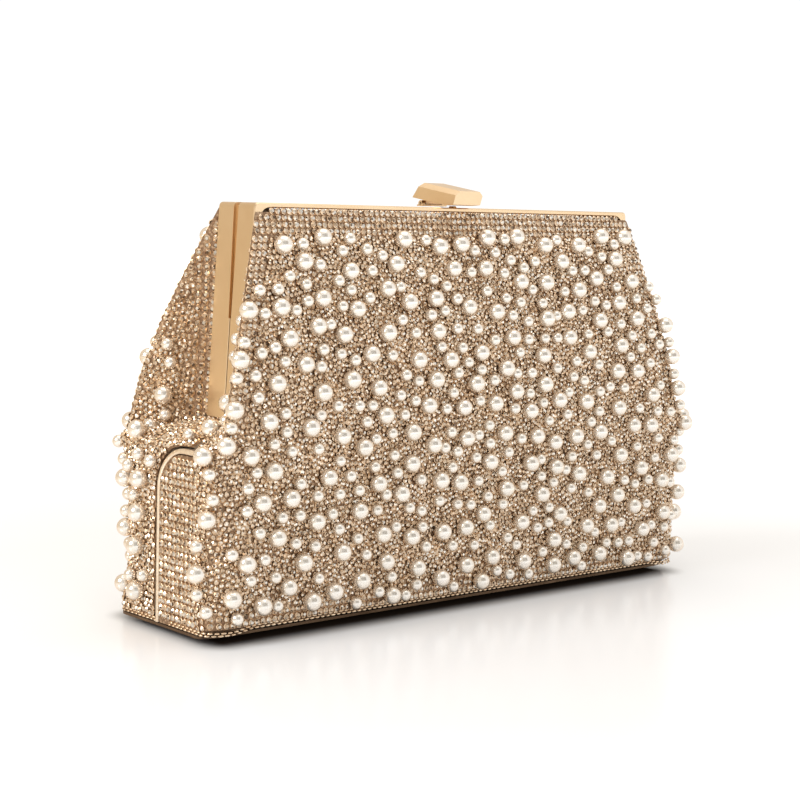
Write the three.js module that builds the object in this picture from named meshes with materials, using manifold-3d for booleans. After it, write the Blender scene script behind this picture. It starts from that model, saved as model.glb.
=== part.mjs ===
// Evening bag: a rigid box clutch in two halves, closed by a metal frame with a lever clasp.
// Millimetres, +Z up, +X along the bag, -Y to the front. The bag stands on Z = 0.
//
// The front half is a tub: front wall, lower end walls and base. The back half is the back wall
// with the upper end walls behind the seam, and it swings about a hinge along the rear bottom edge.
import * as THREE from "three";
import { mergeVertices } from "three/addons/utils/BufferGeometryUtils.js";
import Module from "manifold-3d";

const wasm = await Module();
wasm.setup();

// ---------- driving dimensions ----------
const height = 126; // floor to the top of the rail
const frontDepth = 20; // seam to the front face
const backDepth = 28; // seam to the back face at the base
const backBulge = 1.5; // the back face stands out this much more at the ridge
const halfBase = 100; // half the length of the lower body
const halfRidge = 98; // half the length across the ridges, where the frame ends
const halfRail = 79.3; // half the length of the top rail
const ridgeZ = 57; // height of the widest point of the two faces
const gap = 0.3; // clearance between touching pieces

const seamY = (frontDepth - backDepth - backBulge) / 2; // plane where the two frames meet
const flare = halfRidge - halfRail;
const far = 60; // further from the seam than any piece

// wall build-up, from the outside in
const skin = 1.0;
const board = 2.0;
const lining = 0.8;
const ply = 0.4; // clearance between the layers of the wall
const boardIn = skin + ply; // depth of the board's outer face
const liningIn = boardIn + board + ply;
const wall = liningIn + lining;

// metal frame
const bandDepth = 9; // each half's share of the band
const bandThick = 2.2;
const railThick = 1.5; // the top rail is thinner than the bands
const bandFlare = 3.3; // each band stands this much further out at its foot
const bandFoot = 62.6; // height where the bands end
const seamStep = 92; // below this height the two bands meet closely
const seamOpen = 1.2; // how far each band stands back from the seam at the top
const seamShelf = 0.4; // and how much of that is the step
const seamRebate = 0.6; // share of the metal's thickness that stands back; a lip behind it stays
const bandBevel = 0.35;

// base
const wallFoot = 2.6; // lower edge of the end and back walls
const frontFoot = 4.7; // lower edge of the front wall
const trimThick = 0.8;
const chamfer = 4; // how far the base draws back under the front face
const panelInset = 5; // the panel underneath is this much smaller than the base all round

// end flap of the front half
const flapY = seamY + 8.5; // rear edge of the flap
const flapTop = 55.5;
const flapRadius = 13;
const splitReach = 8; // the split leaves the flap's top edge this far in front of the seam
const splitGap = 0.4;

// hinge along the rear bottom edge
const hingeY = seamY + backDepth + 1.5;
const hingeZ = wallFoot - 0.25;
const knuckleRadius = 1.2;

// ---------- solids ----------
function toSolid(geometry) {
  const bare = geometry.clone();
  bare.deleteAttribute("normal");
  bare.deleteAttribute("uv");
  const merged = mergeVertices(bare, 1e-3);
  return new wasm.Manifold(
    new wasm.Mesh({
      numProp: 3,
      vertProperties: merged.attributes.position.array,
      triVerts: new Uint32Array(merged.index.array),
    }),
  );
}

function toGeometry(solid) {
  const mesh = solid.getMesh();
  const geometry = new THREE.BufferGeometry();
  const positions = new Float32Array(mesh.vertProperties);
  geometry.setAttribute("position", new THREE.BufferAttribute(positions, 3));
  geometry.setIndex(new THREE.BufferAttribute(new Uint32Array(mesh.triVerts), 1));
  geometry.computeVertexNormals();
  return geometry;
}

function box(x0, x1, y0, y1, z0, z1) {
  return wasm.Manifold.cube([x1 - x0, y1 - y0, z1 - z0]).translate([x0, y0, z0]);
}

// A cylinder along X.
function rod(x0, x1, y, z, radius, sides = 24) {
  const upright = wasm.Manifold.cylinder(x1 - x0, radius, radius, sides);
  return upright.rotate([0, 90, 0]).translate([x0, y, z]);
}

const shapeOf = (outline) => new THREE.Shape(outline.map((point) => new THREE.Vector2(...point)));

// An outline in the YZ plane pushed along X.
function prismX(outline, x0, x1) {
  const shape = shapeOf(outline);
  const geometry = new THREE.ExtrudeGeometry(shape, { depth: x1 - x0, bevelEnabled: false });
  geometry.applyMatrix4(new THREE.Matrix4().makeBasis(
    new THREE.Vector3(0, 1, 0), new THREE.Vector3(0, 0, 1), new THREE.Vector3(1, 0, 0)));
  return toSolid(geometry).translate([x0, 0, 0]);
}

// An outline in the XZ plane pushed along Y.
function prismY(outline, y0, y1) {
  const geometry = new THREE.ExtrudeGeometry(shapeOf(outline), { depth: y1 - y0, bevelEnabled: false });
  geometry.rotateX(Math.PI / 2);
  return toSolid(geometry).translate([0, y1, 0]);
}

// ---------- the body's plan outline at each height ----------
const mix = THREE.MathUtils.lerp;
const ramp = (z, low, high) => THREE.MathUtils.clamp((z - low) / (high - low), 0, 1);

// 0 at the ridge and below, 1 at the top of the rail.
const rise = (z) => ramp(z, ridgeZ, height);
// The faces curve in towards the rail like a quarter of a sine wave.
const lean = (z) => 1 - Math.cos((rise(z) * Math.PI) / 2);

const notchTop = 8.0; // half the depth of the flat behind the bands
const faceTop = 8.6; // depth of each face at the rail, from the seam
const cornerCut = 10; // how far the rounded corners reach along the faces
const backCornerCut = 12;
const footCornerCut = 3.5; // the back corners are tighter at the base
const ridgeCut = 2; // and all of them nearly sharp at the ridge
const endBulge = 1.2; // over 1, the ends curve out a little between the ridge and the rail

function bodyAt(z) {
  const toRidge = ramp(z, 45, ridgeZ);
  const foot = ramp(z, 4, 20);
  const drawn = chamfer * (1 - ramp(z, wallFoot, frontFoot));
  const bandX = halfRail + bandFlare * ramp(z, height, bandFoot);
  const inEnds = ramp(z, flapTop, bandFoot);
  return {
    half: z < ridgeZ ? mix(halfBase, halfRidge, ramp(z, flapTop, ridgeZ)) : halfRidge - flare * rise(z) ** endBulge,
    front: mix(frontDepth - drawn, faceTop, lean(z)),
    back: mix(backDepth + backBulge * ramp(z, 30, ridgeZ), faceTop, lean(z)),
    frontCorner: mix(cornerCut, ridgeCut, toRidge),
    backCorner: mix(mix(footCornerCut, backCornerCut, foot), ridgeCut, toRidge),
    notch: mix(halfBase, bandX - bandThick - gap, inEnds),
  };
}

const cornerSteps = 4;
const least = 0.3; // shortest edge left when an outline is drawn back

// The line through two points of the plan, moved to the right of its run by inset.
function insetLine([x0, y0], [x1, y1], inset) {
  const length = Math.hypot(x1 - x0, y1 - y0);
  const run = [(x1 - x0) / length, (y1 - y0) / length];
  return { at: [x0 + run[1] * inset, y0 - run[0] * inset], run };
}

// The point where two such lines meet.
function meeting(a, b) {
  const cross = a.run[0] * b.run[1] - a.run[1] * b.run[0];
  if (Math.abs(cross) < 1e-4) return b.at;
  const along = ((b.at[0] - a.at[0]) * b.run[1] - (b.at[1] - a.at[1]) * b.run[0]) / cross;
  return [a.at[0] + along * a.run[0], a.at[1] + along * a.run[1]];
}

// Points of a rounded corner, from the face (y fixed) to the wing that leads to next.
function roundCorner([x, y], next, cut) {
  const length = Math.hypot(next[0] - x, next[1] - y);
  const share = Math.min(cut / length, 0.45);
  const end = [mix(x, next[0], share), mix(y, next[1], share)];
  const points = [];
  for (let i = 0; i <= cornerSteps; i++) {
    const t = i / cornerSteps;
    const start = (1 - t) * (1 - t);
    const middle = 2 * t * (1 - t);
    points.push([start * (x - cut) + middle * x + t * t * end[0],
      start * y + middle * y + t * t * end[1]]);
  }
  return points;
}

// Half of the right side at height z, drawn back by inset: the corner, then the notch.
// Depths are measured from the seam, so the same code serves the front and the back.
function quarter(half, depth, notch, cut, inset) {
  const corner = [half, depth];
  const inner = [notch, notchTop];
  const face = insetLine([0, depth], corner, inset);
  const wing = insetLine(corner, inner, inset);
  const flat = insetLine(inner, [notch, 0], inset);
  const foot = meeting(wing, flat);
  foot[0] = notch - inset;
  foot[1] = Math.min(foot[1], depth - inset - 2 * least);
  const tip = meeting(wing, face);
  tip[0] = Math.max(tip[0], foot[0] + least);
  tip[1] = depth - inset;
  return [...roundCorner(tip, foot, Math.max(cut - inset, least)), foot];
}

// Plan outline of the right half at height z, drawn back by inset, front to back.
function rightSide(z, inset) {
  const at = bodyAt(z);
  const notch = Math.min(at.notch, at.half - 0.01);
  const front = quarter(at.half, at.front, notch, at.frontCorner, inset);
  const back = quarter(at.half, at.back, notch, at.backCorner, inset).reverse();
  return [...front.map(([x, y]) => [x, seamY - y]), ...back.map(([x, y]) => [x, seamY + y])];
}

function ring(z, inset) {
  const right = rightSide(z, inset);
  const left = right.map(([x, y]) => [-x, y]).reverse();
  return [...right, ...left].map(([x, y]) => [x, y, z]);
}

// A solid skinned over plan outlines at the given heights, capped at both ends.
function loft(heights, inset) {
  const rings = heights.map((z) => ring(z, inset));
  const count = rings[0].length;
  const middle = (r) => [0, seamY, r[0][2]];
  const vertices = [...rings.flat(), middle(rings[0]), middle(rings.at(-1))];
  const faces = [];
  for (let level = 0; level + 1 < rings.length; level++) {
    for (let i = 0; i < count; i++) {
      const a = level * count + i;
      const b = level * count + ((i + 1) % count);
      faces.push(a, b, b + count, a, b + count, a + count);
    }
  }
  const bottomMiddle = rings.length * count;
  const lastRing = (rings.length - 1) * count;
  for (let i = 0; i < count; i++) {
    const j = (i + 1) % count;
    faces.push(j, i, bottomMiddle);
    faces.push(lastRing + i, lastRing + j, bottomMiddle + 1);
  }
  const geometry = new THREE.BufferGeometry();
  geometry.setAttribute("position", new THREE.Float32BufferAttribute(vertices.flat(), 3));
  geometry.setIndex(faces);
  return toSolid(geometry);
}

const skinTop = height - railThick - gap; // the walls end under the rail
const levels = [wallFoot, frontFoot, 12, 20, 45, 51, flapTop, ridgeZ, bandFoot, 75, 90, 105, 116, skinTop];

// One layer of the wall: the space between two insets.
function layer(inset, thickness) {
  const inner = [wallFoot - 1, ...levels.slice(1, -1), skinTop + 1];
  return loft(levels, inset).subtract(loft(inner, inset + thickness));
}

// ---------- the split between the halves ----------
// The line of the split in the YZ plane, from the base to the rail, moved to the front by back.
function splitLine(back) {
  const line = [[flapY - back, 0]];
  const centreY = flapY - flapRadius;
  const centreZ = flapTop - flapRadius;
  const radius = flapRadius - back;
  const arcSteps = 8;
  for (let i = 0; i <= arcSteps; i++) {
    const angle = ((i / arcSteps) * Math.PI) / 2;
    line.push([centreY + radius * Math.cos(angle), centreZ + radius * Math.sin(angle)]);
  }
  // The slanted stretch from the flap's top edge up to the foot of the bands.
  const steep = (bandFoot - flapTop) / splitReach;
  const shift = back * Math.hypot(1, 1 / steep);
  line.push([seamY - splitReach - shift - back / steep, flapTop - back]);
  line.push([seamY - back, bandFoot + (shift - back) * steep]);
  line.push([seamY - back, height + 1]);
  return line;
}

const span = [-halfBase - 5, halfBase + 5]; // X range wider than the bag
const frontSpace = (back) => prismX([...splitLine(back), [-far, height + 1], [-far, 0]], ...span);
const backSpace = (back) => prismX([[far, 0], [far, height + 1], ...splitLine(-back).reverse()], ...span);

// ---------- the frame ----------
// One half of the frame: an upside-down U seen from the front, with a wide flat band.
function frameBlank(grow) {
  const outer = (z) => halfRail + bandFlare * ramp(z, height, bandFoot) + grow;
  const inner = (z) => outer(z) - bandThick - 2 * grow;
  const foot = bandFoot - grow;
  const top = height + grow;
  const under = height - railThick - grow;
  const outerRadius = 1.6;
  const innerRadius = 4;
  const shoulder = top - outerRadius;
  const shape = new THREE.Shape();
  shape.moveTo(-outer(foot), foot);
  shape.lineTo(-outer(shoulder), shoulder);
  shape.quadraticCurveTo(-outer(top), top, -outer(top) + outerRadius, top);
  shape.lineTo(outer(top) - outerRadius, top);
  shape.quadraticCurveTo(outer(top), top, outer(shoulder), shoulder);
  shape.lineTo(outer(foot), foot);
  shape.lineTo(inner(foot), foot);
  shape.lineTo(inner(top), under - innerRadius);
  shape.quadraticCurveTo(inner(top), under, inner(top) - innerRadius, under);
  shape.lineTo(-inner(top) + innerRadius, under);
  shape.quadraticCurveTo(-inner(top), under, -inner(top), under - innerRadius);
  shape.lineTo(-inner(foot), foot);
  shape.closePath();
  const depth = bandDepth + 2 * grow;
  const bevel = grow > 0 ? 0 : bandBevel;
  const geometry = new THREE.ExtrudeGeometry(shape, {
    depth: depth - 2 * bevel,
    bevelEnabled: bevel > 0,
    bevelThickness: bevel,
    bevelSize: bevel,
    bevelOffset: -bevel,
    bevelSegments: 1,
    curveSegments: 5,
  });
  geometry.rotateX(Math.PI / 2); // the outline stands up in XZ, its depth runs to the front
  return toSolid(geometry).translate([0, -bevel + grow, 0]);
}

// What is cut from a half of the frame at the seam: a narrow gap right through the metal, and a
// wedge above the step that leaves a lip behind it.
function seamCut() {
  const closeHalf = splitGap / 2;
  const gapThrough = prismX([[-closeHalf, 0], [-closeHalf, height + 1], [far, height + 1], [far, 0]], ...span);
  const wedge = prismX([[-closeHalf - seamShelf, seamStep], [-seamOpen, height + 1], [far, height + 1],
    [far, seamStep]], ...span);
  const lipTop = halfRail - bandThick * seamRebate;
  const lipFoot = lipTop + bandFlare;
  const lipHeight = height - railThick * seamRebate;
  const behindLip = prismY([[-lipFoot, bandFoot], [-lipTop, lipHeight], [lipTop, lipHeight],
    [lipFoot, bandFoot]], -far, far);
  return gapThrough.add(wedge.subtract(behindLip));
}

function frontFrame() {
  return frameBlank(0).subtract(seamCut()).translate([0, seamY, 0]);
}

function backFrame() {
  return frameBlank(0).subtract(seamCut()).mirror([0, 1, 0]).translate([0, seamY, 0]);
}

// What the frames take out of the walls.
function frameRoom() {
  const front = frameBlank(gap).translate([0, seamY + gap, 0]);
  const back = frameBlank(gap).mirror([0, 1, 0]).translate([0, seamY - gap, 0]);
  return front.add(back);
}

const room = frameRoom();
const pipingRadius = 0.8;
const pipingRoom = 2 * pipingRadius + splitGap / 2 + gap;
const flapPipingProud = 0.5; // how far the flap piping stands out of the skin
const flapPipingReach = 0.72; // where it ends, as a share of the way from the seam to the face
const bottomPipingProud = 0.2;
const bottomPipingEnd = 8.5; // the bottom piping stops this far short of each end

// The skin stops behind the band's edges, so no loose patch is left under the metal.
const bandReach = 5; // how far from the band's outside the skin is held back
const clearOfBands = halfRail - bandReach;
const underBands = box(-halfBase, halfBase, seamY - bandDepth - gap, seamY + bandDepth + gap,
  bandFoot - gap, height).subtract(box(-clearOfBands, clearOfBands, -far, far, 0, far * 3));

// Room in the front skin for the piping along the flaps' top edges and the bottom edge.
function pipingChannels() {
  const face = seamY - frontDepth;
  const inside = halfBase - skin - gap;
  const end = halfBase - bottomPipingEnd + gap;
  const top = box(...span, face + ridgeCut, seamY - splitReach, flapTop - pipingRoom, flapTop + 1);
  const middle = box(-inside, inside, -far, far, 0, height);
  const bottom = box(-end, end, -far, face + pipingRoom, 0, frontFoot);
  return top.subtract(middle).add(bottom);
}

function frontSkin() {
  const whole = layer(0, skin).intersect(frontSpace(pipingRoom));
  return whole.subtract(underBands).subtract(pipingChannels());
}

function backSkin() {
  return layer(0, skin).intersect(backSpace(splitGap)).subtract(underBands);
}

function frontBoard() {
  return layer(boardIn, board).intersect(frontSpace(splitGap / 2)).subtract(room);
}

function backBoard() {
  return layer(boardIn, board).intersect(backSpace(splitGap / 2)).subtract(room);
}

function frontLining() {
  return layer(liningIn, lining).intersect(frontSpace(splitGap / 2)).subtract(room);
}

function backLining() {
  return layer(liningIn, lining).intersect(backSpace(splitGap / 2)).subtract(room);
}

// ---------- edge trim ----------
// Piping along the free edge of an end flap: up its rear edge, round the corner and forward.
function flapPiping(side) {
  const path = new THREE.CurvePath();
  const inward = pipingRadius + splitGap / 2;
  const y = flapY - inward;
  const top = flapTop - inward;
  const radius = flapRadius - inward;
  const x = side * (halfBase - pipingRadius + flapPipingProud);
  const forward = seamY - frontDepth * flapPipingReach;
  const point = (py, pz) => new THREE.Vector3(x, py, pz);
  path.add(new THREE.LineCurve3(point(y, wallFoot), point(y, top - radius)));
  const bend = radius * 0.45; // how far the corner curve's handles stop short of the corner
  path.add(new THREE.CubicBezierCurve3(point(y, top - radius), point(y, top - bend),
    point(y - radius + bend, top), point(y - radius, top)));
  path.add(new THREE.LineCurve3(point(y - radius, top), point(forward, top)));
  const section = new THREE.Shape().absarc(0, 0, pipingRadius, 0, 2 * Math.PI);
  return toSolid(new THREE.ExtrudeGeometry(section, { steps: 36, curveSegments: 5, extrudePath: path }));
}

// Piping along the bottom edge of the front wall.
function bottomPiping() {
  const y = seamY - frontDepth + pipingRadius - bottomPipingProud;
  const z = frontFoot - pipingRadius - gap;
  const half = halfBase - bottomPipingEnd;
  return rod(-half, half, y, z, pipingRadius, 12);
}

// A flat plate following the body's outline, drawn back by inset and cut short at the front.
function basePlate(low, thickness, inset, frontInset) {
  const plate = loft([wallFoot, wallFoot + 1], inset);
  const flat = plate.translate([0, 0, -wallFoot]).scale([1, 1, thickness]).translate([0, 0, low]);
  return flat.subtract(box(...span, -far, seamY - frontDepth + frontInset, -1, far));
}

function baseTrim() {
  return basePlate(wallFoot - gap - trimThick, trimThick, 0, chamfer);
}

// The board the bag stands on, drawn back so that the trim's edge shows all round.
function basePanel() {
  const top = wallFoot - 2 * gap - trimThick;
  return basePlate(0, top, panelInset, chamfer + panelInset);
}

// The lining of the base lies inside the walls.
function baseLining() {
  return basePlate(wallFoot, lining, wall + 2 * gap, chamfer + wall + gap);
}

// ---------- hinge ----------
const hingeHalf = 80; // half the length of the hinge
const knuckles = 9;
const knuckleLength = (2 * hingeHalf) / knuckles;
const pinRadius = 0.5;
const boreClearance = 0.2;
const leafThick = 0.4;
const baseLeafDepth = 4.8;
const backLeafHeight = 7;
const backLeafGap = 0.4;

const bore = rod(-hingeHalf - 1, hingeHalf + 1, hingeY, hingeZ, pinRadius + boreClearance, 12);

// Where every second knuckle starts along X.
function knuckleStarts(first) {
  const starts = [];
  for (let i = first; i < knuckles; i += 2) starts.push(-hingeHalf + i * knuckleLength);
  return starts;
}

function knuckleRow(first) {
  const tube = (x) => rod(x + gap / 2, x + knuckleLength - gap / 2, hingeY, hingeZ, knuckleRadius, 16);
  return wasm.Manifold.union(knuckleStarts(first).map(tube));
}

// Room for the other leaf's knuckles.
function knuckleSlots(first) {
  const clear = knuckleRadius + gap;
  const slot = (x) => box(x - gap / 2, x + knuckleLength + gap / 2, hingeY - clear, hingeY + clear,
    hingeZ - clear, hingeZ + clear);
  return wasm.Manifold.union(knuckleStarts(1 - first).map(slot));
}

// The lower leaf lies under the edge of the base trim.
function hingeBaseLeaf() {
  const top = wallFoot - trimThick - 2 * gap;
  const rear = hingeY - knuckleRadius;
  const flat = box(-hingeHalf, hingeHalf, rear - baseLeafDepth, hingeY, top - leafThick, top);
  return flat.add(knuckleRow(0)).subtract(knuckleSlots(0)).subtract(bore);
}

// The upper leaf stands against the outside of the back wall.
function hingeBackLeaf() {
  const front = seamY + backDepth + backLeafGap;
  const flat = box(-hingeHalf, hingeHalf, front, front + leafThick, hingeZ, hingeZ + backLeafHeight);
  return flat.add(knuckleRow(1)).subtract(knuckleSlots(1)).subtract(bore);
}

function hingePin() {
  return rod(-hingeHalf, hingeHalf, hingeY, hingeZ, pinRadius, 12);
}

// ---------- clasp ----------
const claspHalf = 5; // half the length of the bracket
const footThick = 0.5;
const footHalfDepth = 1.6;
const earWidth = 1.4;
const earRadius = 0.95;
const pivotY = seamY + 3.2;
const pivotZ = height + 1.2;
const claspPinRadius = 0.35;
const claspPlay = 0.15; // clearance round the clasp pin
const leverHalf = 5.8; // half the width of the lever
const leverLength = 20.4; // from its rear end, over both rails, to its nose
const leverThick = 5.2;
const leverTilt = 8.3; // degrees: the nose stands lower
const leverRear = seamY + 6.2;
const leverLift = 3; // height of the rear end's lower edge over the rail
const leverSlant = 3.1; // how far the rear end leans forward
const leverBevel = [1.7, 1.35]; // width and height of the bevels along its top
const noseUndercut = [4.4, 0.8]; // the underside rises by 0.8 over the last 4.4
const noseSlant = 0.8; // how far the nose's lower edge lies behind its upper edge
const studY = seamY - bandDepth * 0.75;
const studTall = 0.5;

const lugHalf = claspHalf - earWidth - gap; // half the width of the lug between the ears
const lugRadius = earRadius - 0.1;

const claspBore = rod(-far, far, pivotY, pivotZ, claspPinRadius + claspPlay, 16);

// A bracket on the back rail: a foot plate with an ear at each end and a window for the lug.
function claspBracket() {
  const low = height + gap;
  const plate = box(-claspHalf, claspHalf, pivotY - footHalfDepth, pivotY + footHalfDepth, low, low + footThick);
  const lugRoom = lugRadius + gap;
  const window = box(-lugHalf - gap, lugHalf + gap, pivotY - lugRoom, pivotY + lugRoom, height, height + 1);
  const foot = plate.subtract(window);
  const ear = (x) => rod(x, x + earWidth, pivotY, pivotZ, earRadius, 20)
    .add(box(x, x + earWidth, pivotY - earRadius, pivotY + earRadius, low, pivotZ));
  return foot.add(ear(-claspHalf)).add(ear(claspHalf - earWidth)).subtract(claspBore);
}

function claspPin() {
  const half = claspHalf + 0.2; // its ends stand just proud of the ears
  return rod(-half, half, pivotY, pivotZ, claspPinRadius, 16);
}

// The lever before it is tilted: a bar along Y with slanted ends and two bevelled top edges.
function leverBlank() {
  const [undercut, rise] = noseUndercut;
  const side = [[0, 0], [undercut - leverLength, 0], [noseSlant - leverLength, rise],
    [-leverLength, leverThick], [-leverSlant, leverThick]];
  const [wide, tall] = leverBevel;
  const end = [[-leverHalf, -1], [leverHalf, -1], [leverHalf, leverThick - tall],
    [leverHalf - wide, leverThick], [wide - leverHalf, leverThick], [-leverHalf, leverThick - tall]];
  return prismX(side, -leverHalf, leverHalf).intersect(prismY(end, -leverLength - 1, 1));
}

// The lever, with the lug that hangs between the bracket's ears.
function claspLever() {
  const bar = leverBlank().rotate([leverTilt, 0, 0]).translate([0, leverRear, height + leverLift]);
  const lug = rod(-lugHalf, lugHalf, pivotY, pivotZ, lugRadius, 20)
    .add(box(-lugHalf, lugHalf, pivotY - lugRadius, pivotY + lugRadius, pivotZ, pivotZ + 2));
  return bar.add(lug).subtract(claspBore);
}

// A low stud on the front rail, under the lever's nose.
function claspStud() {
  const dome = wasm.Manifold.cylinder(studTall, 1.3, 1.0, 20);
  return dome.translate([0, studY, height]);
}

// ---------- gussets ----------
const gussetX = halfRail - bandThick - wall - 3.5;
const gussetThick = 1;
const gussetHalfDepth = 3.6;
const gussetLow = 30;
const gussetHigh = 116;

// A folded strip of lining cloth inside each end, across the seam.
function gusset(side) {
  const x = side * gussetX - gussetThick / 2;
  return box(x, x + gussetThick, seamY - gussetHalfDepth, seamY + gussetHalfDepth, gussetLow, gussetHigh);
}

// ---------- materials ----------
const gold = { color: 0xd9b07c, roughness: 0.22, metalness: 1 };
const paleGold = { color: 0xe3c79c, roughness: 0.3, metalness: 1 };
const crystal = { color: 0xd8c0a0, roughness: 0.35, metalness: 0.6 };
const greyBoard = { color: 0x8a7f72, roughness: 0.9, metalness: 0 };
const cloth = { color: 0xb98f66, roughness: 0.8, metalness: 0 };

function piece(name, solid, look) {
  const mesh = new THREE.Mesh(toGeometry(solid), new THREE.MeshStandardMaterial(look));
  mesh.name = name;
  return mesh;
}

// ---------- assembly ----------
const frontHalf = new THREE.Group();
frontHalf.add(
  piece("front_board", frontBoard(), greyBoard),
  piece("front_crystal_skin", frontSkin(), crystal),
  piece("front_lining", frontLining(), cloth),
  piece("front_frame", frontFrame(), gold),
  piece("flap_piping_left", flapPiping(-1), paleGold),
  piece("flap_piping_right", flapPiping(1), paleGold),
  piece("bottom_piping", bottomPiping(), paleGold),
  piece("base_trim", baseTrim(), paleGold),
  piece("base_panel", basePanel(), greyBoard),
  piece("base_lining", baseLining(), cloth),
  piece("hinge_base_leaf", hingeBaseLeaf(), paleGold),
  piece("hinge_pin", hingePin(), gold),
  piece("clasp_stud", claspStud(), gold),
);

const backHalf = new THREE.Group();
backHalf.add(
  piece("back_board", backBoard(), greyBoard),
  piece("back_crystal_skin", backSkin(), crystal),
  piece("back_lining", backLining(), cloth),
  piece("back_frame", backFrame(), gold),
  piece("hinge_back_leaf", hingeBackLeaf(), paleGold),
  piece("clasp_bracket", claspBracket(), gold),
  piece("clasp_pin", claspPin(), gold),
  piece("gusset_left", gusset(-1), cloth),
  piece("gusset_right", gusset(1), cloth),
);

const lever = new THREE.Group();
lever.add(piece("clasp_lever", claspLever(), gold));

const bag = new THREE.Group();
bag.add(frontHalf, backHalf, lever);
// The bag stands with the middle of its outline over the origin.
bag.position.y = -new THREE.Box3().setFromObject(bag).getCenter(new THREE.Vector3()).y;

export default bag;
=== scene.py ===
import math

import bmesh
import bpy
import numpy as np
from mathutils import Matrix, Vector, kdtree
from mathutils.noise import noise as noise_value
from mathutils.bvhtree import BVHTree


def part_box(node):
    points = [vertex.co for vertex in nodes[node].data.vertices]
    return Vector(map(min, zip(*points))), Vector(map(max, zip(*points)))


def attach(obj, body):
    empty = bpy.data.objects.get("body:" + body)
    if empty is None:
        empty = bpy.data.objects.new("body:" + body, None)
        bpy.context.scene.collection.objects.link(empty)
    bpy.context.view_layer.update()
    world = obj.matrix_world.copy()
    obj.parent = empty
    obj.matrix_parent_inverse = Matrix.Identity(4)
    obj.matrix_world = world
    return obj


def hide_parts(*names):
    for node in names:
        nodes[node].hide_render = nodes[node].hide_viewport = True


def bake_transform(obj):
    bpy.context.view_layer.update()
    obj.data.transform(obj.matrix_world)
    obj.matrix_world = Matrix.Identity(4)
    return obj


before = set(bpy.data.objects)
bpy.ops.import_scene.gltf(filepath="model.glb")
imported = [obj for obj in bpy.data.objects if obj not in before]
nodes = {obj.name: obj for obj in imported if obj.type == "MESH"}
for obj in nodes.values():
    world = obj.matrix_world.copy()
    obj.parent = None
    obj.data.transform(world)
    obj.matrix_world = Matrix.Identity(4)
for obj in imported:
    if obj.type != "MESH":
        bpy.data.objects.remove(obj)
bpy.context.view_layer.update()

MM = 0.001

# ---------- places taken from the frame ----------
front_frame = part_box("front_frame")
back_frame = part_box("back_frame")
front_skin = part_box("front_crystal_skin")
seam_y = (front_frame[1].y + back_frame[0].y) / 2
rail_top = front_frame[1].z
band_foot = front_frame[0].z
half_rail = front_frame[1].x
flap_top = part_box("flap_piping_left")[1].z
flap_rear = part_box("flap_piping_left")[1].y
flap_x = front_skin[1].x
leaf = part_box("hinge_back_leaf")

# ---------- sizes of the trimming ----------
pitch = 2.1 * MM  # from one stone to the next in the square grid
row_pitch = 1.9 * MM  # between the straight rows under the rail
stone_radius = 1.04 * MM
fill_pitch = 1.62 * MM  # between the scattered stones
fill_radius = 0.87 * MM
edge_room = 0.75 * MM  # from a stone's middle to the edge of the cloth
large_pearl = 2.8 * MM
small_pearl = 1.95 * MM
pearl_sink = 0.88  # a pearl's middle stands this many radii off the mesh
rope_low = 3.7 * MM  # height of the beaded line round the corners
rope_lift = 1.2 * MM  # how much higher it runs along the middle
rope_room = 0.95 * MM  # from the line to the lowest stones
rope_gap = 0.75 * MM  # from its upper row of beads to the lower one


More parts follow.
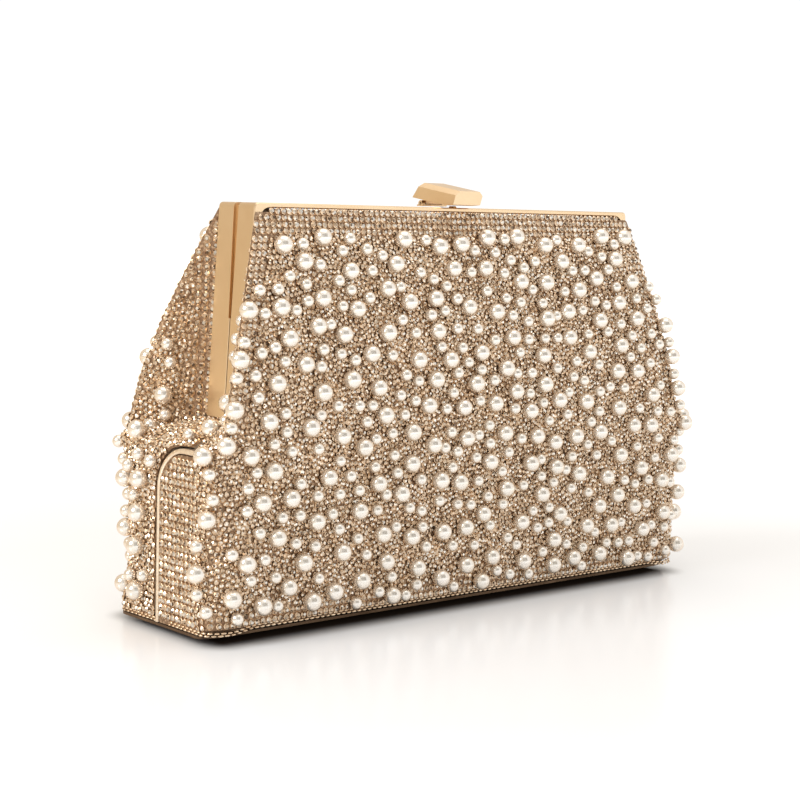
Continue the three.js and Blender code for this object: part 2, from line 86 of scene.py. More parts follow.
# ---------- the outside of a crystal skin ----------
class Surface:
    """The triangles on the outside of a skin, with what is needed to put things on them."""

    def __init__(self, node):
        mesh = nodes[node].data
        mesh.calc_loop_triangles()
        points = np.array([v.co for v in mesh.vertices])
        triangles = np.array([t.vertices for t in mesh.loop_triangles])
        corners = points[triangles]
        cross = np.cross(corners[:, 1] - corners[:, 0], corners[:, 2] - corners[:, 0])
        double = np.linalg.norm(cross, axis=1)
        good = double > 1e-12
        corners, cross, double = corners[good], cross[good], double[good]
        normals = cross / double[:, None]
        middles = corners.mean(1)
        away = middles[:, :2] - [0, seam_y]
        away /= np.linalg.norm(away, axis=1)[:, None]
        faces_out = (normals[:, :2] * away).sum(1) > 0.02
        broadside = math.copysign(1, middles[:, 1].mean() - seam_y)
        whole = BVHTree.FromPolygons(corners.reshape(-1, 3).tolist(),
                                     np.arange(len(corners) * 3).reshape(-1, 3).tolist())
        for i in np.nonzero(faces_out)[0]:
            start = Vector(middles[i] - normals[i] * 1e-5)
            depth = whole.ray_cast(start, Vector(-normals[i]))[3]
            thin = depth is not None and depth < 5 * MM
            faces_out[i] = thin or normals[i][1] * broadside > 0.9
        self.corners = corners[faces_out]
        self.normals = normals[faces_out]
        self.areas = double[faces_out] / 2
        flat = self.corners.reshape(-1, 3)
        self.tree = BVHTree.FromPolygons(flat.tolist(), np.arange(len(flat)).reshape(-1, 3).tolist())
        self.edge = self.edge_points()

    def edge_points(self):
        """A search tree of points along the free edges of the surface."""
        keys = [[tuple(np.round(p / 1e-6).astype(int)) for p in tri] for tri in self.corners]
        ends = {}
        for key, tri in zip(keys, self.corners):
            for a, b in ((0, 1), (1, 2), (2, 0)):
                pair = (key[b], key[a])
                if pair in ends:
                    del ends[pair]
                else:
                    ends[(key[a], key[b])] = (tri[a], tri[b])
        points = []
        for a, b in ends.values():
            steps = int(np.linalg.norm(b - a) / (0.4 * MM)) + 1
            points.extend(a + (b - a) * i / steps for i in range(steps))
        return search_tree(points)

    def candidates(self, count, rng):
        """Points spread evenly at random, as (points, normals)."""
        chosen = rng.choice(len(self.areas), count, p=self.areas / self.areas.sum())
        u, v = rng.random((2, count, 1))
        over = u + v > 1
        u, v = np.where(over, 1 - u, u), np.where(over, 1 - v, v)
        a, b, c = self.corners[chosen].transpose(1, 0, 2)
        return a + (b - a) * u + (c - a) * v, self.normals[chosen]

    def ridge(self, side, facing, z, inward=1.0 * MM):
        """The outermost point met from the front or back at this height, a little in from the corner."""
        x = flap_x
        while x > half_rail * 0.5 and not self.hit((side * x, facing * 0.1, z), (0, -facing, 0)):
            x -= 0.25 * MM
        return self.hit((side * (x - inward), facing * 0.1, z), (0, -facing, 0))

    def hit(self, start, direction):
        """The first point met from start, as (point, normal), or None."""
        point, normal, _, _ = self.tree.ray_cast(Vector(start), Vector(direction))
        return None if point is None else (point, normal)


def search_tree(points):
    tree = kdtree.KDTree(len(points))
    for i, p in enumerate(points):
        tree.insert(p, i)
    tree.balance()
    return tree


class Spread:
    """Points kept at least a distance apart, found through a grid of cells."""

    def __init__(self, cell):
        self.cell = cell
        self.cells = {}

    def near(self, point, distance):
        x, y, z = (math.floor(c / self.cell) for c in point)
        for i in (x - 1, x, x + 1):
            for j in (y - 1, y, y + 1):
                for k in (z - 1, z, z + 1):
                    for q, room in self.cells.get((i, j, k), ()):
                        limit = max(distance, room)
                        squared = (q[0] - point[0]) ** 2 + (q[1] - point[1]) ** 2 + (q[2] - point[2]) ** 2
                        if squared < limit * limit:
                            return True
        return False

    def add(self, point, room=0):
        key = tuple(math.floor(c / self.cell) for c in point)
        self.cells.setdefault(key, []).append((point, room))


def rope_height(x):
    """Height of the beaded line along the foot: it dips at the corners."""
    share = min(max((flap_x - 7 * MM - abs(x)) / (9 * MM), 0), 1)
    return rope_low + rope_lift * share * share * (3 - 2 * share)


def below_stones(point):
    return point[2] < rope_height(point[0]) + rope_room


def under_leaf(point, room):
    """True where the hinge leaf screwed to the outside of the back covers the cloth."""
    x, y, z = point
    return y > seam_y and abs(x) < leaf[1].x + room and z < leaf[1].z + room


# ---------- pearls ----------
def pearl_room(point):
    """True where the bag carries pearls."""
    x, y, z = point
    ahead = seam_y - y
    end = abs(x) > half_rail - 4 * MM
    if z > rail_top - 9 * MM or z < 7 * MM:
        return False
    if end and z > flap_top - 3 * MM and -19 * MM < ahead < 0:
        return False
    if end and z > rail_top - 32 * MM and ahead < 0:
        return False
    if abs(x) > flap_x - 1.5 * MM and ahead > -9 * MM:
        return ahead > 13.5 * MM
    beside_band = abs(x) > half_rail - 8 * MM and 0 < ahead < 14 * MM and z > rail_top - 30 * MM
    return not beside_band


def ridge_pearls(surface, facing, low, high, outward, radii, rng):
    """Pearls down each corner where the face meets the end, moved outward by up to this much."""
    line = []
    for side in (-1, 1):
        z = high
        last = 0.0
        while z > low:
            radius = radii[len(line) % len(radii)]
            z -= last + radius + rng.choice([0.2, 1.2, 4.0], p=[0.4, 0.35, 0.25]) * MM
            last = radius
            met = surface.ridge(side, facing, z)
            if met:
                shift = Vector((side * rng.uniform(*outward), 0, 0))
                line.append((np.array(met[0] + shift), np.array(met[1]), radius))
    return line


def place_pearls(surface, ridge, rng):
    """Large and small pearls as (points, normals, radii), those of the ridge first."""
    area = surface.areas.sum()
    placed = list(ridge)
    spread = Spread(9 * MM)
    for point, _, radius in placed:
        spread.add(point, radius + large_pearl)
    large_count = int(area / (172 * MM * MM))
    small_count = int(area / (104 * MM * MM))
    for radius, count, apart in ((large_pearl, large_count, 8.2 * MM), (small_pearl, small_count, 5.0 * MM)):
        points, normals = surface.candidates(count * 40, rng)
        made = 0
        for point, normal in zip(points, normals):
            if made == count:
                break
            edge_distance = surface.edge.find(point)[2]
            if not pearl_room(point) or under_leaf(point, radius):
                continue
            if edge_distance < radius * 1.1 or spread.near(point, apart):
                continue
            spread.add(point, radius + small_pearl + 0.15 * MM)
            placed.append((point, normal, radius * rng.uniform(0.97, 1.03)))
            made += 1
    points, normals, radii = zip(*placed)
    return np.array(points), np.array(normals), np.array(radii)


# ---------- stones ----------
def row_stones(surface, starts, direction):
    """Stones where rays from the starts meet the surface, clear of its edges."""
    found = []
    for start in starts:
        hit = surface.hit(start, direction)
        if hit and surface.edge.find(hit[0])[2] > edge_room * 0.75 and not under_leaf(hit[0], fill_radius):
            found.append((np.array(hit[0]), np.array(hit[1])))
    return found


def straight_rows(surface, facing):
    """The rows under the rail and along the foot. facing is -1 for the front and 1 for the back."""
    rows = []
    top = front_skin[1].z
    foot = front_skin[0].z + 3.2 * MM
    heights = [(top - 0.65 * MM - k * row_pitch, pitch) for k in range(4)]
    heights += [(foot + k * pitch, pitch) for k in range(2)]
    for z, step in heights:
        count = int(flap_x / step)
        starts = [(i * step, facing * 0.1, z) for i in range(-count, count + 1)]
        rows += row_stones(surface, starts, (0, -facing, 0))
    return rows


def columns_beside_band(surface, facing):
    """Columns that follow the outer edge of the face, beside the bands."""
    found = []
    for side in (-1, 1):
        for column in range(3):
            z = front_skin[1].z - 4.6 * row_pitch
            while z > band_foot:
                hit = surface.ridge(side, facing, z, 0.85 * MM + column * row_pitch)
                if hit and surface.edge.find(hit[0])[2] > edge_room * 0.5:
                    found.append((np.array(hit[0]), np.array(hit[1])))
                z -= pitch * 0.97
    return found


def columns_on_end(surface):
    """Columns on the ends of the back half, beside its band."""
    found = []
    for side in (-1, 1):
        for column in range(3):
            y = back_frame[1].y + 1.1 * MM + column * row_pitch
            starts = [(side * 0.2, y, band_foot + i * pitch) for i in range(30)]
            found += row_stones(surface, starts, (-side, 0, 0))
    return found


def flap_rows(surface):
    """The square grid on each end flap of the front half."""
    rows = []
    first = flap_rear - 2.9 * MM
    for side in (-1, 1):
        for column in range(9):
            for row in range(26):
                start = (side * 0.2, first - column * pitch, rope_low + 1.6 * MM + row * pitch)
                rows += row_stones(surface, [start], (-side, 0, 0))
    return rows


def place_stones(surface, fixed, pearls, rng):
    """Stones as (points, normals, regular): the fixed rows first, then a close random fill."""
    pearl_points, _, pearl_radii = pearls
    shade = search_tree(pearl_points)

    def under_pearl(point):
        _, index, distance = shade.find(point)
        return distance < pearl_radii[index] * 0.4

    kept = [(p, n) for p, n in fixed if not under_pearl(p)]
    beside_kept = stone_radius + fill_radius * 0.9
    loose = []
    for least in (fill_pitch * 0.76, fill_pitch * 0.81, fill_pitch * 0.84, fill_pitch * 0.84):
        spread = Spread(beside_kept * 1.05)
        for p, _ in kept:
            spread.add(p, beside_kept)
        for p, _ in loose:
            spread.add(p)
        points, normals = surface.candidates(int(surface.areas.sum() / least ** 2 * 8), rng)
        for p, n in zip(points, normals):
            if below_stones(p) or under_leaf(p, fill_radius) or spread.near(p, least) or under_pearl(p):
                continue
            if surface.edge.find(p)[2] < edge_room:
                continue
            spread.add(p)
            loose.append((Vector(p), Vector(n)))
        loose = relaxed(surface, [p for p, _ in kept], loose)
    all_points = np.array([p for p, _ in kept] + [p for p, _ in loose])
    all_normals = np.array([n for _, n in kept] + [n for _, n in loose])
    regular = np.arange(len(all_points)) < len(kept)
    return all_points, all_normals, regular


def relaxed(surface, fixed, loose, rounds=2):
    """The loose stones pushed apart until they lie evenly."""
    reach = fill_pitch * 1.12
    for _ in range(rounds):
        tree = search_tree(list(fixed) + [p for p, _ in loose])
        moved = []
        for point, normal in loose:
            push = Vector()
            for other, _, distance in tree.find_range(point, reach):
                if distance > 1e-6:
                    push += (point - other) * (1 / distance - 1 / reach)
            target, facing, _, _ = surface.tree.find_nearest(point + push * fill_pitch * 0.3)
            outside = below_stones(target) or under_leaf(target, fill_radius)
            if outside or surface.edge.find(target)[2] < edge_room * 0.9:
                moved.append((point, normal))
            else:
                moved.append((target, facing))
        loose = moved
    return loose


# ---------- meshes made of many copies ----------
def frames_on(normals, sizes, rng, tilt=0.0):
    """A turning and scaling matrix for each normal: its columns are two tangents and the normal."""
    normals = normals + rng.normal(0, 1, normals.shape) * tilt
    up = normals / np.linalg.norm(normals, axis=1)[:, None]
    helper = np.where(np.abs(up[:, 2:3]) < 0.9, [[0.0, 0, 1]], [[1.0, 0, 0]])
    side = np.cross(helper, up)
    side /= np.linalg.norm(side, axis=1)[:, None]
    ahead = np.cross(up, side)
    turn = rng.random(len(up)) * 2 * math.pi
    c, s = np.cos(turn)[:, None], np.sin(turn)[:, None]
    return np.stack([side * c + ahead * s, ahead * c - side * s, up], axis=2) * sizes[:, None, None]


def copies(name, template, places, matrices):
    """One mesh holding a copy of the template (vertices, faces, face slots) at each place."""
    vertices, faces, slots = template
    count = len(places)
    all_vertices = np.einsum("nij,vj->nvi", matrices, vertices) + places[:, None, :]
    loops = np.concatenate(faces)
    totals = np.array([len(f) for f in faces])
    starts = np.concatenate([[0], np.cumsum(totals)[:-1]])
    offset = np.arange(count)[:, None]
    mesh = bpy.data.meshes.new(name)
    mesh.vertices.add(count * len(vertices))
    mesh.vertices.foreach_set("co", all_vertices.astype(np.float32).ravel())
    mesh.loops.add(count * len(loops))
    mesh.loops.foreach_set("vertex_index", (loops + offset * len(vertices)).astype(np.int32).ravel())
    mesh.polygons.add(count * len(faces))
    mesh.polygons.foreach_set("loop_start", (starts + offset * len(loops)).astype(np.int32).ravel())
    mesh.polygons.foreach_set("material_index", np.tile(slots, count).astype(np.int32))
    mesh.update(calc_edges=True)
    made = bpy.data.objects.new(name, mesh)
    bpy.context.scene.collection.objects.link(made)
    return made


def stone_template(sides=7):
    """A cut stone in its cup, one unit in radius: cup wall, rim, crown facets and table."""
    rings = ((0.97, 0.0), (1.0, 0.32), (0.83, 0.46), (0.45, 0.80))
    cup_rings = 2
    vertices = []
    for radius, height in rings:
        for i in range(sides):
            angle = 2 * math.pi * i / sides
            vertices.append((radius * math.cos(angle), radius * math.sin(angle), height))
    faces, slots = [], []
    for level in range(len(rings) - 1):
        low, high = level * sides, (level + 1) * sides
        for i in range(sides):
            j = (i + 1) % sides
            faces.append(np.array([low + i, low + j, high + j, high + i]))
            slots.append(1 if level < cup_rings else 0)
    faces.append(np.arange(sides) + (len(rings) - 1) * sides)
    slots.append(0)
    return np.array(vertices), faces, slots


def sphere_template(around=20, rings=12):
    vertices = [(0.0, 0.0, 1.0)]
    for ring in range(1, rings):
        polar = math.pi * ring / rings
        for i in range(around):
            angle = 2 * math.pi * i / around
            vertices.append((math.sin(polar) * math.cos(angle),
                             math.sin(polar) * math.sin(angle), math.cos(polar)))
    vertices.append((0.0, 0.0, -1.0))
    last = len(vertices) - 1
    faces = []
    for i in range(around):
        j = (i + 1) % around
        faces.append(np.array([0, 1 + i, 1 + j]))
        for ring in range(rings - 2):
            a, b = 1 + ring * around, 1 + (ring + 1) * around
            faces.append(np.array([a + i, b + i, b + j, a + j]))
        a = 1 + (rings - 2) * around
        faces.append(np.array([a + i, last, a + j]))
    return np.array(vertices), faces, [0] * len(faces)


# ---------- materials ----------
def new_material(name):
    material = bpy.data.materials.new(name)
    material.use_nodes = True
    tree = material.node_tree
    return material, tree, tree.nodes["Principled BSDF"]


def add(tree, kind, **values):
    """A new node; values go to its properties, or to its inputs by name."""
    node = tree.nodes.new(kind)
    for key, value in values.items():
        if hasattr(node, key):
            setattr(node, key, value)
        else:
            node.inputs[key.replace("_", " ")].default_value = value
    return node


def noise(tree, scale, detail=4.0):
    coordinates = add(tree, "ShaderNodeTexCoord")
    texture = add(tree, "ShaderNodeTexNoise", Scale=scale, Detail=detail)
    tree.links.new(coordinates.outputs["Object"], texture.inputs["Vector"])
    return texture


def ramp(tree, source, stops):
    """A colour ramp over source, with stops of (position, colour)."""
    node = add(tree, "ShaderNodeValToRGB")
    tree.links.new(source, node.inputs["Fac"])
    elements = node.color_ramp.elements
    while len(elements) < len(stops):
        elements.new(0.5)
    for element, (position, colour) in zip(elements, stops):
        element.position = position
        element.color = (*colour, 1)
    return node


def bump(tree, shader, height, strength, distance=0.1 * MM):
    node = add(tree, "ShaderNodeBump", Strength=strength, Distance=distance)
    tree.links.new(height, node.inputs["Height"])
    tree.links.new(node.outputs["Normal"], shader.inputs["Normal"])


def metal(name, dark, light, roughness, grain=60.0, unevenness=0.03):
    """Plated metal: a faint cloud in its colour and roughness, and a fine unevenness in its surface."""
    material, tree, shader = new_material(name)
    shader.inputs["Metallic"].default_value = 1.0
    cloud = noise(tree, grain)
    colour = ramp(tree, cloud.outputs["Fac"], [(0.35, dark), (0.65, light)])
    tree.links.new(colour.outputs["Color"], shader.inputs["Base Color"])
    low, high = roughness
    spread = add(tree, "ShaderNodeMapRange", To_Min=low, To_Max=high)
    tree.links.new(noise(tree, grain * 6).outputs["Fac"], spread.inputs["Value"])
    tree.links.new(spread.outputs["Result"], shader.inputs["Roughness"])
    bump(tree, shader, noise(tree, grain * 4).outputs["Fac"], unevenness)
    return material


def knitted_mesh():
    """The fine gold mesh that the stones are set on, its gold darkened by painted shade for the gaps between
    the stones.
    """
    material, tree, shader = new_material("knitted_mesh")
    shader.inputs["Metallic"].default_value = 0.7
    shader.inputs["Roughness"].default_value = 0.4
    cells = add(tree, "ShaderNodeTexVoronoi", Scale=1100.0)
    coordinates = add(tree, "ShaderNodeTexCoord")
    tree.links.new(coordinates.outputs["Object"], cells.inputs["Vector"])
    # knit cells are light in the middle and dark at their joints; the whole ramp is held dark as painted shade
    # between the stones
    colour = ramp(tree, cells.outputs["Distance"], [(0.1, (0.60, 0.42, 0.27)), (0.6, (0.26, 0.155, 0.09))])
    tree.links.new(colour.outputs["Color"], shader.inputs["Base Color"])
    bump(tree, shader, cells.outputs["Distance"], 0.6, 0.2 * MM)
    return material


def crystal():
    """Cut glass over foil. Each facet has its own colour, held in the mesh: painted dark and bright reflections
    over the warm tone of the foil.
    """
    material, tree, shader = new_material("crystal")
    shader.inputs["Metallic"].default_value = 0.85
    shader.inputs["Roughness"].default_value = 0.18
    shader.inputs["Coat Weight"].default_value = 0.6
    shader.inputs["Coat Roughness"].default_value = 0.04
    tint_and_painted_glint = add(tree, "ShaderNodeAttribute", attribute_name="tint_and_painted_glint")
    tree.links.new(tint_and_painted_glint.outputs["Color"], shader.inputs["Base Color"])
    return material


def pearl():
    """Glossy cream pearl coating that mirrors the room softly, its rim painted tan as a painted reflection of
    the gold beside it.
    """
    material, tree, shader = new_material("pearl")
    shader.inputs["Metallic"].default_value = 0.72
    shader.inputs["Roughness"].default_value = 0.11
    shader.inputs["Coat Weight"].default_value = 0.6
    shader.inputs["Coat Roughness"].default_value = 0.05
    cloud = noise(tree, 180.0, 2.0)
    middle = ramp(tree, cloud.outputs["Fac"], [(0.3, (0.90, 0.87, 0.81)), (0.7, (0.96, 0.93, 0.88))])
    # painted reflection: toward the rim the cream turns tan, standing for the gold stones mirrored there
    edge = add(tree, "ShaderNodeLayerWeight", Blend=0.42)
    cream_and_painted_rim = add(tree, "ShaderNodeMix", data_type="RGBA")
    tree.links.new(edge.outputs["Facing"], cream_and_painted_rim.inputs["Factor"])
    tree.links.new(middle.outputs["Color"], cream_and_painted_rim.inputs[6])
    cream_and_painted_rim.inputs[7].default_value = (0.84, 0.62, 0.40, 1)
    tree.links.new(cream_and_painted_rim.outputs[2], shader.inputs["Base Color"])
    return material


def satin():
    """Lining satin with a fine twill."""
    material, tree, shader = new_material("lining_satin")
    shader.inputs["Roughness"].default_value = 0.45
    shader.inputs["Sheen Weight"].default_value = 0.5
    shader.inputs["Sheen Roughness"].default_value = 0.35
    weave = add(tree, "ShaderNodeTexWave", Scale=420.0, Distortion=0.6, bands_direction="DIAGONAL")
    coordinates = add(tree, "ShaderNodeTexCoord")
    tree.links.new(coordinates.outputs["Object"], weave.inputs["Vector"])
    colour = ramp(tree, noise(tree, 40.0).outputs["Fac"],
                  [(0.3, (0.36, 0.22, 0.12)), (0.7, (0.50, 0.33, 0.19))])
    tree.links.new(colour.outputs["Color"], shader.inputs["Base Color"])
    bump(tree, shader, weave.outputs["Fac"], 0.25, 0.05 * MM)
    return material


def board():
    """Grey-brown pressed board with flecks."""
    material, tree, shader = new_material("board")
    shader.inputs["Roughness"].default_value = 0.85
    flecks = noise(tree, 900.0, 8.0)
    colour = ramp(tree, flecks.outputs["Fac"], [(0.35, (0.16, 0.11, 0.07)), (0.65, (0.30, 0.22, 0.15))])
    tree.links.new(colour.outputs["Color"], shader.inputs["Base Color"])
    bump(tree, shader, flecks.outputs["Fac"], 0.4)
    return material


def base_cover():
    """Grained covering under the base, coloured near black: painted shade, as it lies in the bag's shade."""
    material, tree, shader = new_material("base_cover")
    shader.inputs["Roughness"].default_value = 0.8
    shader.inputs["Specular IOR Level"].default_value = 0.25
    grain = add(tree, "ShaderNodeTexVoronoi", Scale=900.0, feature="DISTANCE_TO_EDGE")
    coordinates = add(tree, "ShaderNodeTexCoord")
    tree.links.new(coordinates.outputs["Object"], grain.inputs["Vector"])
    # near-black grain: painted shade under the bag
    colour = ramp(tree, grain.outputs["Distance"], [(0.0, (0.05, 0.03, 0.02)), (0.3, (0.14, 0.09, 0.06))])
    tree.links.new(colour.outputs["Color"], shader.inputs["Base Color"])
    bump(tree, shader, grain.outputs["Distance"], 0.5)
    return material


gold = metal("polished_gold", (0.84, 0.62, 0.385), (0.88, 0.665, 0.43), (0.27, 0.34))
pale_gold = metal("pale_gold", (0.84, 0.63, 0.42), (0.94, 0.74, 0.52), (0.25, 0.38), 200.0, 0.15)
cup_gold = metal("cup_gold", (0.80, 0.58, 0.38), (0.95, 0.76, 0.55), (0.2, 0.35), 300.0)
piping_gold = metal("piping_gold", (0.88, 0.72, 0.55), (0.98, 0.86, 0.70), (0.32, 0.5), 900.0, 0.4)
# the base trim's gold is painted near black: painted shade, as it sits in the shade under the bag
trim_gold_in_painted_shade = metal("trim_gold_in_painted_shade", (0.14, 0.085, 0.05), (0.22, 0.14, 0.085), (0.35, 0.5))
pin_metal = metal("pin_metal", (0.45, 0.36, 0.26), (0.58, 0.48, 0.36), (0.25, 0.35))
mesh_gold_and_painted_shade = knitted_mesh()
crystal_glass = crystal()
pearl_coat = pearl()
lining_satin = satin()
pressed_board = board()
cover_in_painted_shade = base_cover()


def facet_tints_and_glints(regular, facets, rng):
    """A colour for each facet, over a brightness of the stone's own: painted reflections, some dark, some warm
    and some bright. The stones of the rows and grids get a darker share, a painted shade.
    """
    stones = len(regular)
    painted_dark_reflection = np.array([0.16, 0.09, 0.045])
    warm = np.array([0.72, 0.53, 0.36])
    # a painted bright reflection in the facet
    clear = np.array([1.0, 0.92, 0.81])
    share = rng.random((stones, facets, 1))
    tint_and_painted_glint = np.where(share < 0.15, painted_dark_reflection, np.where(share < 0.64, warm, clear))
    # painted shade: the stones in rows and grids are held darker than the rest
    tint_and_painted_glint = tint_and_painted_glint * rng.uniform(0.75, 1.0, (stones, 1, 1)) * np.where(regular, 0.82, 1.0)[:, None, None]
    return np.concatenate([tint_and_painted_glint, np.ones((stones, facets, 1))], axis=2)


def cover(name, surface, body, ridge, fixed, rng):
    """Covers a skin with its pearls and stones, riding on body."""
    pearls = place_pearls(surface, ridge, rng)
    points, normals, regular = place_stones(surface, fixed, pearls, rng)
    count = len(points)
    sizes = np.where(regular, stone_radius, fill_radius * rng.uniform(0.9, 1.05, count))
    tilt = np.where(regular, 0.05, 0.13)[:, None]
    template = stone_template()
    raised = normals * np.where(regular, 0, rng.uniform(0, 0.25 * MM, count))[:, None]
    stones = copies(name + "_stones", template, points + raised, frames_on(normals, sizes, rng, tilt))
    stones.data.materials.append(crystal_glass)
    stones.data.materials.append(cup_gold)
    stones.data.shade_flat()
    faces = len(template[1])
    tints_and_glints = facet_tints_and_glints(regular, faces, rng)
    layer = stones.data.attributes.new("tint_and_painted_glint", "FLOAT_COLOR", "FACE")
    layer.data.foreach_set("color", tints_and_glints.astype(np.float32).ravel())
    places, facing, radii = pearls
    centres = places + facing * (radii * pearl_sink)[:, None]
    beads = copies(name + "_pearls", sphere_template(), centres, frames_on(facing, radii, rng))
    beads.data.materials.append(pearl_coat)
    for piece in (stones, beads):
        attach(piece, body)
    return stones, beads


def flap_end_pearls(surface):
    """The large pearl and the small one that hide the front end of each flap's piping."""
    found = []
    for side, piping in ((-1, "flap_piping_left"), (1, "flap_piping_right")):
        low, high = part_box(piping)
        for y, z, radius in ((low.y - 2.6 * MM, high.z - 0.2 * MM, large_pearl),
                             (low.y - 4.2 * MM, high.z - 5.6 * MM, small_pearl)):
            point, normal, _, _ = surface.tree.find_nearest((side * flap_x, y, z))
            found.append((np.array(point), np.array(normal), radius))
    return found


rng = np.random.default_rng(7)
front = Surface("front_crystal_skin")
back = Surface("back_crystal_skin")
front_ridge = flap_end_pearls(front)
front_ridge += ridge_pearls(front, -1, flap_top + 2.6 * MM, rail_top - 27 * MM, (0.2 * MM, 1.0 * MM),
                            (large_pearl, small_pearl), rng)
back_ridge = ridge_pearls(back, 1, 12 * MM, rail_top - 40 * MM, (-2.5 * MM, 0.0),
                          (small_pearl, large_pearl, small_pearl), rng)
front_rows = straight_rows(front, -1) + columns_beside_band(front, -1) + flap_rows(front)
back_rows = straight_rows(back, 1) + columns_beside_band(back, 1) + columns_on_end(back)
cover("front", front, "front_half", front_ridge, front_rows, rng)
cover("back", back, "back_half", back_ridge, back_rows, rng)


# ---------- the beaded line along the foot ----------
def foot_line(surface, facing):
    """Points round the outside of a half, just above its foot, from one end of the seam to the other."""
    points = []
    steps = 3000
    for i in range(steps + 1):
        angle = math.pi * i / steps
        along = Vector((math.cos(angle), facing * math.sin(angle), 0))
        start = Vector((0, seam_y, rope_low + 2 * MM)) + along * 0.3
        met = surface.hit(start, -along)
        if met:
            points.append(met[0])
    return points


def evenly(points, step):
    """The points of a line taken at equal steps, as (points, directions)."""
    points = np.array(points)
    lengths = np.linalg.norm(np.diff(points, axis=0), axis=1)
    along = np.concatenate([[0], np.cumsum(lengths)])
    wanted = np.arange(step / 2, along[-1], step)
    places = np.stack([np.interp(wanted, along, points[:, k]) for k in range(3)], axis=1)
    directions = np.gradient(places, axis=0)
    return places, directions / np.linalg.norm(directions, axis=1)[:, None]


def rope(name, surface, facing, body, rng):
    """Two rows of long beads round the foot of a half."""
    bead_length, bead_radius = 1.8 * MM, 0.34 * MM
    places, directions = evenly(foot_line(surface, facing), bead_length * 1.12)
    outward = np.cross(directions, (0, 0, 1)) * -facing
    outward *= np.sign((outward * (places - [0, seam_y, 0])).sum(1))[:, None]
    up = np.tile([0.0, 0, 1], (len(places), 1))
    shape = np.stack([directions * bead_length / 2, outward * bead_radius, up * bead_radius], axis=2)
    open_foot = np.array([not under_leaf(place, bead_length) for place in places])
    places, directions = places[open_foot], directions[open_foot]
    outward, shape = outward[open_foot], shape[open_foot]
    rows = []
    for drop, shift in ((0.0, 0.0), (rope_gap, 0.5)):
        row = places + directions * shift * bead_length + outward * 0.15 * MM
        row[:, 2] = [rope_height(x) - drop for x in row[:, 0]]
        rows.append(row)
    middles = np.concatenate(rows)
    wobble = np.repeat(rng.uniform(0.85, 1.1, len(middles)), 9).reshape(-1, 3, 3)
    beads = copies(name, sphere_template(8, 6), middles, np.concatenate([shape, shape]) * wobble)
    beads.data.materials.append(cup_gold)
    beads.data.shade_smooth()
    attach(beads, body)
    return beads


front_rope = rope("front_foot_rope", front, -1, "front_half", rng)
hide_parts("bottom_piping")
rope("back_foot_rope", back, 1, "back_half", rng)


# ---------- soft parts ----------
def soft_copy(name, node, material, body, cuts=0, swell=0.0):
    """A cloth piece with the shape of a CAD solid, replacing it: finer, and slightly uneven."""
    piece = bpy.data.objects.new(name, nodes[node].data.copy())
    bpy.context.scene.collection.objects.link(piece)
    mesh = piece.data
    mesh.materials.clear()
    mesh.materials.append(material)
    shape = bmesh.new()
    shape.from_mesh(mesh)
    bmesh.ops.remove_doubles(shape, verts=shape.verts, dist=1e-6)
    if cuts:
        long_edges = [e for e in shape.edges if e.calc_length() > 12 * MM]
        bmesh.ops.subdivide_edges(shape, edges=long_edges, cuts=cuts, use_grid_fill=True)
        shape.normal_update()
        for vertex in shape.verts:
            wave = noise_value(vertex.co * 60.0)
            vertex.co -= vertex.normal * swell * (0.5 + 0.5 * wave)
    shape.to_mesh(mesh)
    shape.free()
    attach(piece, body)
    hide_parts(node)
    return piece


front_backing = soft_copy("front_mesh", "front_crystal_skin", mesh_gold_and_painted_shade, "front_half")
back_backing = soft_copy("back_mesh", "back_crystal_skin", mesh_gold_and_painted_shade, "back_half")

front_cloth = soft_copy("front_lining_cloth", "front_lining", lining_satin, "front_half", 3, 0.12 * MM)
back_cloth = soft_copy("back_lining_cloth", "back_lining", lining_satin, "back_half", 3, 0.12 * MM)
floor_cloth = soft_copy("base_lining_cloth", "base_lining", lining_satin, "front_half", 3, 0.1 * MM)


def wall_at(tree, side, y, z):
    """How far out the inside of a lining is at this height. Below the flap's top the back half has no
    wall beside the seam, and a width is guessed, so the gusset's back edge hangs free there."""
    met = tree.ray_cast(Vector((side * 0.05, y, z)), Vector((side, 0, 0)))
    return abs(met[0].x) if met[0] else half_rail * 0.9


def gusset(side, node):
    """Pleated cloth between the halves, with a strip along each edge that runs out to the side wall."""
    low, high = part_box(node)
    outer = max(abs(low.x), abs(high.x)) - 0.1 * MM
    pleats = 6
    rises = 40
    across = []
    vertices, faces = [], []
    for j in range(rises + 1):
        share = j / rises
        z = low.z + (high.z - low.z) * share
        depth = (4.0 + 5.0 * share) * MM
        row = []
        front_wall = wall_at(lining_trees["front_lining"], side, low.y, z) - 0.4 * MM
        back_wall = wall_at(lining_trees["back_lining"], side, high.y, z) - 0.4 * MM
        row.append((side * front_wall, low.y, z))
        row.append((side * (front_wall + outer) / 2, low.y, z))
        steps = pleats * 4
        for i in range(steps + 1):
            y = low.y + (high.y - low.y) * i / steps
            fold = 0.5 - 0.5 * math.cos(2 * math.pi * pleats * i / steps)
            row.append((side * (outer - depth * fold), y, z))
        row.append((side * (back_wall + outer) / 2, high.y, z))
        row.append((side * back_wall, high.y, z))
        across = row
        vertices.extend(row)
    wide = len(across)
    for j in range(rises):
        for i in range(wide - 1):
            a = j * wide + i
            faces.append((a, a + 1, a + wide + 1, a + wide))
    mesh = bpy.data.meshes.new(node + "_cloth")
    mesh.from_pydata(vertices, [], faces)
    mesh.materials.append(lining_satin)
    mesh.shade_smooth()
    piece = bpy.data.objects.new(node + "_cloth", mesh)
    bpy.context.scene.collection.objects.link(piece)
    thick = piece.modifiers.new("thickness", "SOLIDIFY")
    thick.thickness = 0.2 * MM
    thick.offset = 0
    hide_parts(node)
    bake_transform(piece)
    return piece


